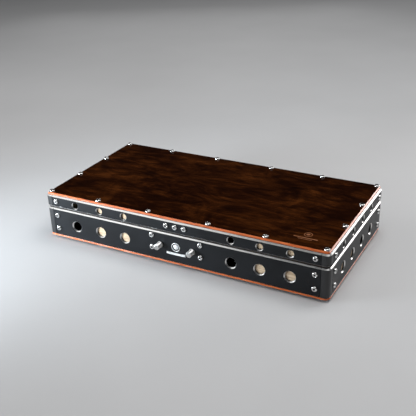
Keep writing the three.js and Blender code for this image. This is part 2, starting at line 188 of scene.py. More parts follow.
# A slab over a rounded rectangle, through rings of (inset, height), closed by a fan at each flat face.
def slabPatches(width, depth, radius, rings, perCorner):
    outline, normals = roundedOutline(width, depth, radius, perCorner)
    inset, height = np.array(rings, float).T
    side = offsetGrid(outline, normals, inset, height)
    count = len(outline)
    fan = np.stack([np.arange(count), (np.arange(count) + 1) % count, np.full(count, count)], axis=-1)
    patches = [gridPatch(side, wrapRows=True)]
    for k in (0, -1):
        rim = side[:, k]
        inner = rim * innerRing
        patches.append(gridPatch(np.stack([rim, inner], axis=1), wrapRows=True))
        patches.append(patch(np.concatenate([inner, [(0, 0, height[k])]]), fan))
    return patches


# Sets sockets of a node by their names.
def fill(node, values):
    for key, value in values.items():
        node.inputs[key].default_value = value


# A material with helpers for the few nodes that every finish here is made of.
class Finish:
    def __init__(self, name, constants):
        self.material = bpy.data.materials.new(name)
        self.material.use_nodes = True
        self.tree = self.material.node_tree
        self.shader = self.tree.nodes["Principled BSDF"]
        fill(self.shader, constants)

    def node(self, kind, **settings):
        made = self.tree.nodes.new(kind)
        for key, value in settings.items():
            setattr(made, key, value)
        return made

    def join(self, source, target):
        self.tree.links.new(source, target)

    # Object coordinates, scaled by a Mapping node.
    def place(self, scale=(1, 1, 1)):
        mapping = self.node("ShaderNodeMapping")
        fill(mapping, {"Scale": scale})
        self.join(self.node("ShaderNodeTexCoord").outputs["Object"], mapping.inputs["Vector"])
        return mapping.outputs["Vector"]

    def noise(self, vector, scale, detail=4, roughness=0.5, distortion=0.0):
        made = self.node("ShaderNodeTexNoise")
        fill(made, {"Scale": scale, "Detail": detail, "Roughness": roughness, "Distortion": distortion})
        self.join(vector, made.inputs["Vector"])
        return made.outputs["Fac"]

    # Noise runs mostly from 0.3 to 0.7; that span is laid in a straight line onto low to high.
    def between(self, noise, low, high):
        made = self.node("ShaderNodeMapRange")
        for index, number in enumerate((0.3, 0.7, low, high)):
            made.inputs[index + 1].default_value = number
        self.join(noise, made.inputs[0])
        return made.outputs[0]

    def ramp(self, value, stops):
        made = self.node("ShaderNodeValToRGB")
        elements = made.color_ramp.elements
        while len(elements) < len(stops):
            elements.new(0.5)
        for element, (position, colour) in zip(elements, stops):
            element.position = position
            element.color = (*colour, 1)
        self.join(value, made.inputs[0])
        return made.outputs[0]

    def darkened(self, share, colour, shade):
        made = self.node("ShaderNodeMix", data_type="RGBA", blend_type="MULTIPLY")
        made.inputs[0].default_value = share
        self.join(colour, made.inputs[6])
        self.join(shade, made.inputs[7])
        return made.outputs[2]

    def scaled(self, value, factor):
        made = self.node("ShaderNodeMath", operation="MULTIPLY")
        self.join(value, made.inputs[0])
        made.inputs[1].default_value = factor
        return made.outputs[0]

    def added(self, first, second):
        made = self.node("ShaderNodeMath", operation="ADD")
        self.join(first, made.inputs[0])
        self.join(second, made.inputs[1])
        return made.outputs[0]

    def colour(self, source):
        self.join(source, self.shader.inputs["Base Color"])

    def roughness(self, source):
        self.join(source, self.shader.inputs["Roughness"])

    def bump(self, height, strength, distance):
        made = self.node("ShaderNodeBump")
        fill(made, {"Strength": strength, "Distance": distance})
        self.join(height, made.inputs["Height"])
        self.join(made.outputs["Normal"], self.shader.inputs["Normal"])


walnutLook = {
    "face": [(0.34, (0.0045, 0.0009, 0.0002)), (0.46, (0.015, 0.0034, 0.0007)),
             (0.55, (0.038, 0.0098, 0.0018)), (0.68, (0.088, 0.025, 0.0050))],
    "pores": [(0.38, (0.55, 0.5, 0.45)), (0.56, (1, 1, 1))],
    "mottleShare": 0.55,
    "figureShare": 0.45,
    "faceRoughness": (0.26, 0.34),
    "faceGloss": {"Specular IOR Level": 0.0, "Coat Weight": 0.4, "Coat Roughness": 0.06,
                  "Coat IOR": 1.4},
    "edge": [(0.32, (0.34, 0.062, 0.014)), (0.52, (0.58, 0.125, 0.030)), (0.72, (0.74, 0.210, 0.060))],
    "edgeRoughness": (0.24, 0.38),
    "edgeGloss": {"Specular IOR Level": 0.5, "Coat Weight": 0.5, "Coat Roughness": 0.16},
}


# Dark walnut under a thick gloss lacquer: long soft figure, burl mottle and fine pores.
def walnutFace(look):
    finish = Finish("walnut lacquered", look["faceGloss"])
    mottle = finish.noise(finish.place((1, 1.6, 1)), 9, detail=6, roughness=0.62, distortion=1.4)
    figure = finish.noise(finish.place((3.2, 11, 11)), 2.6, detail=7, roughness=0.6, distortion=2.2)
    pores = finish.noise(finish.place((14, 150, 150)), 3, detail=5, roughness=0.65)
    pattern = finish.added(finish.scaled(mottle, look["mottleShare"]),
                           finish.scaled(figure, look["figureShare"]))
    wood = finish.ramp(pattern, look["face"])
    finish.colour(finish.darkened(0.8, wood, finish.ramp(pores, look["pores"])))
    finish.roughness(finish.between(finish.noise(finish.place(), 40, 3), *look["faceRoughness"]))
    finish.bump(pores, 0.06, 0.0004)
    return finish.material


# The same board's cut edge, where the lacquer is thin and the wood shows orange.
def walnutEdge(look):
    finish = Finish("walnut edge", look["edgeGloss"])
    grain = finish.noise(finish.place((18, 18, 260)), 3, detail=6, roughness=0.6)
    finish.colour(finish.ramp(grain, look["edge"]))
    finish.roughness(finish.between(grain, *look["edgeRoughness"]))
    finish.bump(grain, 0.08, 0.0003)
    return finish.material


plateLook = {
    "dark": (0.0045, 0.0050, 0.0060),
    "light": (0.0095, 0.0105, 0.0125),
    "roughness": (0.38, 0.46),
    "drawnRoughness": (-0.03, 0.03),
    "gloss": {"Specular IOR Level": 0.16, "Coat Weight": 0.14, "Coat Roughness": 0.08},
}


# Black anodised plate: a satin skin with a very fine drawn texture and slight cloudiness.
def blackPlate(look):
    finish = Finish("black anodised plate", look["gloss"])
    drawn = finish.noise(finish.place((30, 30, 900)), 2, detail=4, roughness=0.6)
    cloud = finish.noise(finish.place(), 16, detail=4)
    finish.colour(finish.ramp(cloud, [(0.3, look["dark"]), (0.7, look["light"])]))
    finish.roughness(finish.added(finish.between(cloud, *look["roughness"]),
                                  finish.between(drawn, *look["drawnRoughness"])))
    finish.bump(drawn, 0.05, 0.0002)
    return finish.material


# A skin with one fine noise in its colour, its polish and its bumps, for metals and the corner posts.
def drawnSkin(name, constants, scale, noiseScale, detail, dark, light, rough, bumpStrength, bumpDistance):
    finish = Finish(name, constants)
    streak = finish.noise(finish.place(scale), noiseScale, detail=detail, roughness=0.6)
    finish.colour(finish.ramp(streak, [(0.3, dark), (0.7, light)]))
    finish.roughness(finish.between(streak, *rough))
    finish.bump(streak, bumpStrength, bumpDistance)
    return finish.material


# A bright metal, its roughness within a spread of its mean.
def metal(name, dark, light, rough, spread, scale=(1, 1, 1)):
    span = (rough - spread, rough + spread)
    return drawnSkin(name, {"Metallic": 1.0}, scale, 380, 3, dark, light, span, 0.04, 0.0001)


# Pale birch: long soft grain, wide soft shading across it, and a tint for darker boards.
def birch(name, tint=(1, 1, 1)):
    finish = Finish(name, {})
    grain = finish.noise(finish.place((9, 160, 160)), 1.6, detail=6, roughness=0.6, distortion=0.6)
    wide = finish.noise(finish.place((3, 12, 12)), 2, detail=4)
    stops = ((0.32, 0.80, (0.62, 0.43, 0.27)), (0.5, 1, (0.72, 0.54, 0.36)), (0.7, 1, (0.80, 0.63, 0.45)))
    wood = [(at, tuple(share * c * t for c, t in zip(colour, tint))) for at, share, colour in stops]
    shade = finish.ramp(wide, [(0.3, (0.86, 0.82, 0.78)), (0.7, (1, 1, 1))])
    finish.colour(finish.darkened(0.7, finish.ramp(grain, wood), shade))
    finish.roughness(finish.between(grain, 0.45, 0.62))
    finish.bump(grain, 0.12, 0.0004)
    return finish.material


# Matt rubber with a fine pitted skin.
def rubber(name, dark, light, rough):
    finish = Finish(name, {})
    skin = finish.noise(finish.place(), 900, detail=3, roughness=0.7)
    cloud = finish.noise(finish.place(), 60, detail=3)
    finish.colour(finish.ramp(cloud, [(0.3, dark), (0.7, light)]))
    finish.roughness(finish.between(skin, rough - 0.08, rough + 0.08))
    finish.bump(skin, 0.2, 0.0002)
    return finish.material


walnutFaceFinish = walnutFace(walnutLook)
walnutEdgeFinish = walnutEdge(walnutLook)
blackPlateFinish = blackPlate(plateLook)
bareEdgeFinish = drawnSkin("bare aluminium chamfer", {"Metallic": 1.0}, (12, 12, 500), 4, 4,
                           (0.62, 0.61, 0.6), (0.86, 0.85, 0.83), (0.26, 0.32), 0.012, 0.0001)
blackPostFinish = drawnSkin("black corner post", {"Specular IOR Level": 0.6}, (700, 700, 14), 1, 3,
                            (0.006, 0.006, 0.0065), (0.013, 0.013, 0.014), (0.3, 0.42), 0.05, 0.0002)
stainlessFinish = metal("stainless screw", (0.62, 0.62, 0.61), (0.82, 0.82, 0.81), 0.24, 0.05)
# The socket's walls and floor are the same stainless as the head, painted dark: painted shade in the recess.
socketShadeFinish = metal("screw socket painted shade", (0.05, 0.05, 0.05), (0.11, 0.11, 0.11), 0.5, 0.06)
nickelFinish = metal("satin nickel", (0.8, 0.79, 0.77), (0.92, 0.91, 0.89), 0.34, 0.04)
# The pin's end face is the same nickel as its side, painted darker as shade.
nickelFaceShadeFinish = metal("turned nickel face painted shade", (0.38, 0.38, 0.37), (0.55, 0.54, 0.53), 0.34, 0.05)
badgeFinish = metal("brushed silver badge", (0.82, 0.82, 0.82), (0.95, 0.95, 0.94), 0.46, 0.06)
zincFinish = metal("zinc plated steel", (0.26, 0.27, 0.28), (0.46, 0.47, 0.48), 0.36, 0.08, (1, 0.1, 1))
birchBlockFinish = birch("birch block")
birchDeckFinish = birch("birch deck", (0.9, 0.84, 0.76))
markFinish = birch("mark inlay", (0.42, 0.2, 0.1))
rimFinish = rubber("rim gasket", (0.014, 0.008, 0.005), (0.035, 0.02, 0.013), 0.62)
footFinish = rubber("foot rubber", (0.008, 0.008, 0.008), (0.018, 0.018, 0.018), 0.8)
housingFinish = metal("housing black", (0.012, 0.012, 0.013), (0.026, 0.026, 0.028), 0.4, 0.06)
print("stage: finishes made")


panelShape = {
    "topRadius": 4,
    "topChamfer": 2.2,
    "topUndersideChamfer": 0.3,
    "bottomRadius": 10,
    "bottomChamfer": 1.0,
    "softening": 0.35,
    "flatStart": 0.9,                  # the flat faces begin at this share of the corner's radius
    "steepest": 0.97,                  # faces whose normals rise less than this wear the edge finish
}


# Each board is a slab with a chamfer above and below; rings (inset, height) soften its arrises.
def makePanels(shape):
    soft = shape["softening"] * mm
    for name, node, body, *keys in (
        ("lid_top_board", "lid_top_panel", "lid", "topRadius", "topUndersideChamfer", "topChamfer"),
        ("bottom_board", "bottom_panel", "base", "bottomRadius", "bottomChamfer", "bottomChamfer"),
    ):
        radius, low, high = (shape[key] * mm for key in keys)
        lowest, highest, size = nodeBox(node)
        top = size[2]
        flat = radius * shape["flatStart"]
        rings = [
            (flat, 0), (low + soft, 0), (low * 0.5 + soft * 0.2, low * 0.5), (0, low + soft * 0.5),
            (0, top - high - soft * 0.5), (soft * 0.15, top - high + soft * 0.15),
            (high - soft * 0.15, top - soft * 0.15), (high + soft * 0.5, top), (flat, top),
        ]
        shift = (*((lowest + highest) / 2)[:2], lowest[2])
        board = carried(slabPatches(size[0], size[1], radius, rings, 14), lambda points: points + shift)
        piece = buildPiece(name, board, [walnutFaceFinish, walnutEdgeFinish])
        normals = np.zeros(len(piece.data.polygons) * 3)
        piece.data.polygons.foreach_get("normal", normals)
        leaning = np.abs(normals.reshape(-1, 3)[:, 2]) < shape["steepest"]
        piece.data.polygons.foreach_set("material_index", leaning.astype(np.int32))
        settle(piece, body, "panel_wood", node)


makePanels(panelShape)
print("stage: wooden panels")


plateShape = {
    "thickness": 4,
    "seam": 0.45,                      # a gap at each end of a plate, beside the corner post
    "lidChamfer": 2.6,
    "baseChamfer": 2.2,
    "footChamfer": 0.8,
    "cableRadius": 9.8,
    "cableChamfer": 1.7,
    "cableHeight": 31.5,
    "ventRadius": 6.2,
    "ventChamfer": 1.4,
    "ventHeight": 77.2,
    "pinRadius": 5.8,
    "pinChamfer": 0.5,
    "pinHeight": 36,
    "pinX": 34.5,
    "holesX": {"front": (114, 170.3, 228), "back": (114, 228), "left": (27.4, 80), "right": (27.4, 80)},
    "roundSteps": 16,
}
wallEnds = {"base": ("footChamfer", "baseChamfer"), "lid": ("lidChamfer", "lidChamfer")}   # lower, upper
holeBorder = 2.5 * mm                  # flat metal round a hole's chamfer before the plain strips begin


# Boundary of a rectangle, anticlockwise from its lower right corner, n points a side.
def rectangleRing(x0, x1, z0, z1, n):
    s = np.linspace(0, 1, n, endpoint=False)
    right = np.stack([np.full(n, x1), z0 + (z1 - z0) * s], axis=-1)
    top = np.stack([x1 - (x1 - x0) * s, np.full(n, z1)], axis=-1)
    left = np.stack([np.full(n, x0), z1 - (z1 - z0) * s], axis=-1)
    bottom = np.stack([x0 + (x1 - x0) * s, np.full(n, z0)], axis=-1)
    return np.concatenate([right, top, left, bottom])


# Circle with the same number of points, starting at -45 degrees like the rectangle's corner.
def circleRing(x, z, radius, n):
    a = np.linspace(-math.pi / 4, 2 * math.pi - math.pi / 4, 4 * n, endpoint=False)
    return np.stack([x + radius * np.cos(a), z + radius * np.sin(a)], axis=-1)


def atDepth(ring, depth):
    return np.stack([ring[:, 0], np.full(len(ring), depth), ring[:, 1]], axis=-1)


# Grid between lines of points, each line given as its x, y and z, single numbers being held along it.
def betweenLines(*lines, material=0):
    return gridPatch(np.stack([np.stack(np.broadcast_arrays(*line), axis=-1) for line in lines]), material)


# A drilled plate: columns with one hole each and plain strips between them, both faces, all the edges.
# Holes are (x, z, radius, chamfer). The section is a rectangle with its two outer edges cut at 45 degrees.
def platePatches(length, low, high, thickness, lowChamfer, highChamfer, holes, n):
    front0, front1 = low + lowChamfer, high - highChamfer
    share = np.linspace(0, 1, n + 1)
    faceZ, backZ = front0 + (front1 - front0) * share, low + (high - low) * share

    def strips(x0, x1):
        return [betweenLines((x0, 0, faceZ), (x1, 0, faceZ)),
                betweenLines((x0, thickness, backZ), (x1, thickness, backZ))]

    patches = []
    stations = [-length / 2]
    for x, z, radius, chamfer in sorted(holes):
        wide = radius + chamfer + holeBorder
        patches += strips(stations[-1], x - wide)
        face = atDepth(rectangleRing(x - wide, x + wide, front0, front1, n), 0)
        back = atDepth(rectangleRing(x - wide, x + wide, low, high, n), thickness)
        lip = atDepth(circleRing(x, z, radius + chamfer, n), 0)
        throat = atDepth(circleRing(x, z, radius, n), chamfer)
        end = atDepth(circleRing(x, z, radius, n), thickness)
        patches += [
            gridPatch(np.stack([face, lip]), 0, wrapColumns=True),
            gridPatch(np.stack([lip, throat]), 1, wrapColumns=True),
            gridPatch(np.stack([throat, end]), 2, wrapColumns=True),
            gridPatch(np.stack([end, back]), 0, wrapColumns=True),
        ]
        stations += list(np.linspace(x - wide, x + wide, n + 1))
    patches += strips(stations[-1], length / 2)
    stations = np.array(stations + [length / 2])
    for chamfer, outer, edge in ((lowChamfer, front0, low), (highChamfer, front1, high)):
        patches += [betweenLines((stations, 0, outer), (stations, chamfer, edge), material=1),
                    betweenLines((stations, chamfer, edge), (stations, thickness, edge))]
    for x in (-length / 2, length / 2):
        corners = [(x, 0, front0), (x, lowChamfer, low), (x, thickness, low),
                   (x, 0, front1), (x, highChamfer, high), (x, thickness, high)]
        patches += [betweenLines((x, 0, faceZ), (x, thickness, backZ)),
                    patch(corners, [[0, 1, 2], [3, 4, 5]])]
    return patches


# A hole of one kind at a place along its wall: x, z, radius, chamfer.
def holeAt(shape, kind, x):
    height, radius, chamfer = (shape[kind + part] * mm for part in ("Height", "Radius", "Chamfer"))
    return x * mm, floorUnderCase + height, radius, chamfer


def makePlates(shape):
    for body, kind in (("base", "cable"), ("lid", "vent")):
        lowChamfer, highChamfer = (shape[end] * mm for end in wallEnds[body])
        for side, distances in shape["holesX"].items():
            node = f"{body}_{side}_plate"
            lowest, highest, size = nodeBox(node)
            length = size[0 if side in ("front", "back") else 1] - 2 * shape["seam"] * mm
            holes = [holeAt(shape, kind, sign * x) for x in distances for sign in (-1, 1)]
            if node == "base_front_plate":
                holes += [holeAt(shape, "pin", sign * shape["pinX"]) for sign in (-1, 1)]
            patches = platePatches(length, lowest[2], highest[2], shape["thickness"] * mm,
                                   lowChamfer, highChamfer, holes, shape["roundSteps"])
            plate = buildPiece(f"{body}_{side}_wall", carried(patches, lambda points: onWall(side, points)),
                               [blackPlateFinish, bareEdgeFinish, blackPostFinish])
            settle(plate, body, "black_plate", node)


makePlates(plateShape)
print("stage: wall plates")


postShape = {"radius": 10, "lip": 15.5, "arm": 38, "front": 4.3, "back": 14.3, "steps": 20}


# The post's outline in its corner: arc c + r (cos a, sin a), a from 180 to 270 degrees, then its two arms.
# The first points, from one lip round the arc to the other, are the ones that show.
def postOutline(shape, chamfer):
    a = np.linspace(math.pi, 1.5 * math.pi, shape["steps"] + 1)
    arc = shape["radius"] + (shape["radius"] - chamfer) * np.stack([np.cos(a), np.sin(a)], axis=-1)
    lip, front, back, arm = shape["lip"], shape["front"], shape["back"], shape["arm"]
    shown = np.concatenate([[(chamfer, lip)], arc, [(lip, chamfer)]])
    hidden = np.array([(lip, front), (arm, front), (arm, back), (back, back), (back, arm), (front, arm),
                       (front, lip)])
    return np.concatenate([shown, hidden]) * mm


# Each post is its outline carried up, its ends cut at 45 degrees round the arc like the plates' edges.
def makePosts(shape, chamfers):
    turns = {"front_left": (1, 0), "front_right": (0, 1), "back_right": (-1, 0), "back_left": (0, -1)}
    shown = shape["steps"] + 3         # the arc's points and the two lips
    for body in ("base", "lid"):
        low, high = (chamfers[end] for end in wallEnds[body])
        for corner, (c, s) in turns.items():
            node = f"{body}_post_{corner}"
            lowest, highest, _ = nodeBox(node)
            origin = np.array([halfWidth if "right" in corner else -halfWidth,
                               middleY + (halfDepth if "back" in corner else -halfDepth)])
            rings = []
            for chamfer, z in ((low, lowest[2]), (0, lowest[2] + low * mm),
                               (0, highest[2] - high * mm), (high, highest[2])):
                x, y = postOutline(shape, chamfer).T
                turned = np.stack([c * x - s * y, s * x + c * y], axis=-1) + origin
                rings.append(np.concatenate([turned, np.full((len(x), 1), z)], axis=1))
            rings = np.stack(rings)
            count = rings.shape[1]
            hidden = np.append(np.arange(shown - 1, count), 0)
            cap = [list(range(count))]
            patches = [
                gridPatch(rings[0:2, :shown], 1), gridPatch(rings[1:3], wrapColumns=True),
                gridPatch(rings[2:4, :shown], 1), gridPatch(rings[0:2, hidden]),
                gridPatch(rings[2:4, hidden]), patch(rings[0], cap), patch(rings[3], cap),
            ]
            post = buildPiece(f"{body}_corner_{corner}", patches, [blackPostFinish, bareEdgeFinish], 25)
            settle(post, body, "black_post", node)


makePosts(postShape, plateShape)
print("stage: corner posts")


# Head radius, head height, socket across its flats and socket depth of the two sizes of screw.
screwSizes = {"large": (5.25, 3.1, 4.0, 1.9), "small": (3.6, 0.9, 2.4, 0.8)}
screwSegments = 48


# A button head with a hex socket, standing on z = 0 with its crown up, through rings of (radius, height).
# Dome: r = crown + (R - crown) cos(b), z = brim + (h - brim) sin(b), b from 0 to 90 degrees.
# Socket wall: r(t) = (across / 2) / cos((t mod 60) - 30 degrees), a little narrower at its foot.
def headPatches(radius, height, across, depth):
    t = np.linspace(0, 2 * math.pi, screwSegments, endpoint=False)
    sixth = math.pi / 3
    socket = across / 2 / np.cos(np.mod(t, sixth) - sixth / 2)
    mouth = across / 2 * 1.17          # round, just past the hexagon's corners
    crown, brim, seat = radius * 0.62, height * 0.22, radius * 0.97
    b = np.linspace(0, 1, 7) * math.pi / 2
    dome = list(zip(crown + (radius - crown) * np.cos(b), brim + (height - brim) * np.sin(b)))

    def surface(rings, material):
        points = [np.stack(np.broadcast_arrays(r * np.cos(t), r * np.sin(t), z), axis=-1) for r, z in rings]
        return gridPatch(np.stack(points), material, wrapColumns=True)

    lip, foot = (socket, height - 0.04 * depth), (socket * 0.99, height - depth)
    return [surface([(seat, 0), (radius, height * 0.05), *dome, (mouth, height), lip], 0),
            # The socket's walls and floor wear the second material, painted dark as shade in the recess.
            surface([lip, foot], 1),
            surface([foot, (0, height - depth * 1.18)], 1),
            surface([(seat, 0), (0, 0)], 0)]


# A set of alike screws as one piece: places are (point, outward axis, turn of the socket in degrees).
def screwSet(name, places, body, nodes=(), size="large"):
    head = headPatches(*(number * mm for number in screwSizes[size]))
    patches = []
    for place, axis, degrees in places:
        c, s = math.cos(math.radians(degrees)), math.sin(math.radians(degrees))
        turn = np.array([[c, -s, 0], [s, c, 0], [0, 0, 1]])
        patches += carried(head, lambda points: laid(points @ turn.T, axis, place))
    piece = buildPiece(name, patches, [stainlessFinish, socketShadeFinish])
    return settle(piece, body, "stainless", *nodes)


# Places facing one way, each socket turned on from the one before so that no two look alike.
def turnedPlaces(points, axis, start, step):
    return [(point, axis, start + step * k) for k, point in enumerate(points)]


screwPlaces = {
    "topX": (-290, -177.2, -63.8, 63.8, 177.2, 290),
    "topY": 142.1,
    "topSideY": (-47.4, 47.4),
    "endX": 274,
    "sideEndY": 126.6,
    "lidEndHeight": 78.8,
    "baseEndHeights": (19.6, 48.0),
    "latchX": 51.8,
    "latchHeights": (27.6, 53.1),
    "strikerX": (-19.1, 0, 19.1),
    "strikerHeight": 79.4,
    "topTurns": (11, 41),              # the first socket's turn and the step to the next, in degrees
    "bottomTurns": (7, 29),
    "wallTurns": (17, 37),
}

outwards = {"front": (0, -1, 0), "right": (1, 0, 0), "back": (0, 1, 0), "left": (-1, 0, 0)}


# Screws on a wall, from (x along the wall, height) pairs, standing off it by lift.
def wallScrews(side, spots, lift=0.0):
    spots = np.array(spots, float) * mm
    points = np.stack([spots[:, 0], np.full(len(spots), -lift), spots[:, 1] + floorUnderCase], axis=-1)
    return turnedPlaces(onWall(side, points), outwards[side], *screwPlaces["wallTurns"])


def makeScrews(places):
    def pairs(x, heights):
        return [(sign * x, z) for sign in (-1, 1) for z in heights]

    edge = [(x, sign * places["topY"]) for sign in (-1, 1) for x in places["topX"]]
    edge += pairs(places["topX"][-1], places["topSideY"])
    for name, body, z, up, turns in (
        ("lid_top_screws", "lid", lidTop, 1, "topTurns"),
        ("bottom_screws", "base", floorUnderCase, -1, "bottomTurns"),
    ):
        points = [(x * mm, middleY + y * mm, z) for x, y in edge]
        screwSet(name, turnedPlaces(points, (0, 0, up), *places[turns]), body)
    ends = pairs(places["endX"], places["baseEndHeights"])
    sideEnds = pairs(places["sideEndY"], places["baseEndHeights"])
    lidEnds = pairs(places["endX"], [places["lidEndHeight"]])
    lidSideEnds = pairs(places["sideEndY"], [places["lidEndHeight"]])
    latch = pairs(places["latchX"], places["latchHeights"])
    corners = [f"{side}_{level}" for side in ("left", "right") for level in ("low", "high")]
    screwSet("base_front_end_screws", wallScrews("front", ends), "base",
             [f"end_screw_{corner}" for corner in corners])
    screwSet("latch_screws", wallScrews("front", latch), "base",
             [f"latch_screw_{corner}" for corner in corners])
    screwSet("base_back_end_screws", wallScrews("back", ends), "base")
    for side in ("left", "right"):
        screwSet(f"base_{side}_screws", wallScrews(side, sideEnds), "base")
        screwSet(f"lid_{side}_screws", wallScrews(side, lidSideEnds), "lid")
    for side in ("front", "back"):
        screwSet(f"lid_{side}_end_screws", wallScrews(side, lidEnds), "lid")
    striker = [(x, places["strikerHeight"]) for x in places["strikerX"]]
    screwSet("striker_screws", wallScrews("front", striker), "lid",
             [f"striker_screw_{name}" for name in ("left", "middle", "right")])


deckScrewShape = {"sink": 0.5, "spacing": 9, "turns": (0, 23)}


# Sunk screws where each deck rail crosses each bearer, the heads a shade proud of the wood.
def makeDeckScrews(shape):
    spots = []
    for rail in range(1, 5):
        railLow, railHigh, _ = nodeBox(f"deck_rail_{rail}")
        for side in ("left", "right"):
            bearerLow, bearerHigh, _ = nodeBox(f"deck_bearer_{side}")
            x, y = (bearerLow[0] + bearerHigh[0]) / 2, (railLow[1] + railHigh[1]) / 2
            spots += [(x, y + sign * shape["spacing"] * mm, railHigh[2] - shape["sink"] * mm)
                      for sign in (-1, 1)]
    screwSet("deck_screws", turnedPlaces(spots, (0, 0, 1), *shape["turns"]), "base", size="small")


makeScrews(screwPlaces)
makeDeckScrews(deckScrewShape)
print("stage: screws")


pinShape = {
    "x": 34.5,
    "height": 36,
    "reach": 14,                       # how far the pin stands out of the wall
    "radius": 5.5,
    "faceEase": 0.55,
    "faceDish": ((0, 0.12), (1.0, 0.06), (2.6, 0.02)),      # radius, depth
    "flangeFrom": 4.6,                 # this and the next are measured inwards from the wall's face
    "flangeTo": 6.6,
    "flangeRadius": 7.5,
    "noseRadius": 4,
    "noseTip": 18,
    "noseEase": 0.8,
    "grooves": 12,
    "groovePitch": 1.0,
    "grooveDepth": 0.24,
    "firstGroove": 1.2,
}


# A pin is a turned part along its own axis, with grooves r = R - depth (1 - cos(2 pi u)) / 2, u in grooves.
def makePins(shape):
    reach, radius, ease, nose = (shape[key] for key in ("reach", "radius", "faceEase", "noseRadius"))
    grooves = np.linspace(0, shape["grooves"], shape["grooves"] * 6 + 1)
    side = [
        (radius - ease, reach), (radius - ease * 0.3, reach - ease * 0.3), (radius, reach - ease),
        *zip(radius - shape["grooveDepth"] * (1 - np.cos(2 * math.pi * grooves)) / 2,
             reach - shape["firstGroove"] - grooves * shape["groovePitch"]),
        (radius, -shape["flangeFrom"]), (shape["flangeRadius"], -shape["flangeFrom"]),
        (shape["flangeRadius"], -shape["flangeTo"]), (nose, -shape["flangeTo"]),
        (nose, -shape["noseTip"] + shape["noseEase"]), (nose - shape["noseEase"], -shape["noseTip"]),
        (0, -shape["noseTip"]),
    ]
    face = [*((r, reach - depth) for r, depth in shape["faceDish"]), (radius - ease, reach)]
    z = floorUnderCase + shape["height"] * mm
    for name, sign in (("left", -1), ("right", 1)):
        place = onWall("front", np.array([sign * shape["x"] * mm, 0, z]))
        patches = [turnedPatch(side, outwards["front"], place, 64, 0),
                   # The end face wears the darker nickel: painted shade.
                   turnedPatch(face, outwards["front"], place, 64, 1)]
        pin = buildPiece(f"latch_plunger_{name}", patches, [nickelFinish, nickelFaceShadeFinish])
        settle(pin, f"latch_pin_{name}", "pin_nickel", f"latch_pin_{name}")


makePins(pinShape)
print("stage: latch pins")


sealShape = {"width": 5.6, "cornerRadius": 7}


# The strip in the seam: a squared oval carried round the case's outline,
# inset w/2 (1 - sign(cos a) |cos a|^0.5), height z0 + h/2 sign(sin a) |sin a|^0.6.
def makeSeal(shape):
    lowest, highest, size = nodeBox("rim_seal")
    outline, normals = roundedOutline(size[0], size[1], shape["cornerRadius"] * mm, 12)
    a = np.linspace(0, 2 * math.pi, 20, endpoint=False)
    inset = shape["width"] * mm / 2 * (1 - np.sign(np.cos(a)) * np.abs(np.cos(a)) ** 0.5)
    z = (lowest[2] + highest[2]) / 2 + size[2] / 2 * np.sign(np.sin(a)) * np.abs(np.sin(a)) ** 0.6
    points = offsetGrid(outline, normals, inset, z) + np.array([0, middleY, 0])
    seal = buildPiece("rim_gasket", [gridPatch(points, wrapRows=True, wrapColumns=True)], [rimFinish], 60)
    settle(seal, "base", "rim_rubber", "rim_seal")


makeSeal(sealShape)

footShape = {"radius": 12, "ease": 1.4, "dish": 0.5, "dishRadius": 6.5, "dishSlope": 0.6}


# A turned foot with a dish under it and a round lower edge, from its underside to the bottom panel.
def makeFeet(shape):
    radius, ease, dish, dishRadius = (shape[key] for key in ("radius", "ease", "dish", "dishRadius"))
    a = np.linspace(0, math.pi / 2, 6)
    lowerEdge = [(radius - ease + ease * math.sin(v), ease - ease * math.cos(v)) for v in a]
    for corner in ("front_left", "front_right", "back_right", "back_left"):
        lowest, highest, size = nodeBox(f"foot_{corner}")
        profile = [(0, dish), (dishRadius, dish), (dishRadius + shape["dishSlope"], 0), *lowerEdge,
                   (radius, size[2] / mm), (0, size[2] / mm)]
        place = (*((lowest + highest) / 2)[:2], lowest[2])
        turned = turnedPatch(profile, (0, 0, 1), place, 48)
        foot = buildPiece(f"rubber_foot_{corner}", [turned], [footFinish])
        settle(foot, "base", "foot_rubber", f"foot_{corner}")


makeFeet(footShape)
print("stage: seam strip and feet")


hingeShape = {
    "x": 170,
    "width": 60,
    "axisHeight": 64,
    "axisOut": 5,
    "barrel": 4.5,
    "bore": 2.4,
    "leaf": 2,
    "leafGap": 0.25,
    "near": 5.2,                       # a leaf runs from near to far, measured from the axis
    "far": 24,
    "cornerRadius": 2.5,
    "web": (6.2, 2.6),
    "knuckleEase": 0.3,
    "baseKnuckles": ((-30, -10.3), (10.3, 30)),
    "lidKnuckles": ((-10, 10),),
    "screwRows": (10, 18.5),
    "screwX": (-21, 21),
    "pinRadius": 2,
    "pinHead": 3.4,
    "pinHeadEase": 0.6,
    "pinEnd": 30.3,
    "pinHeadEnd": 31.7,
}


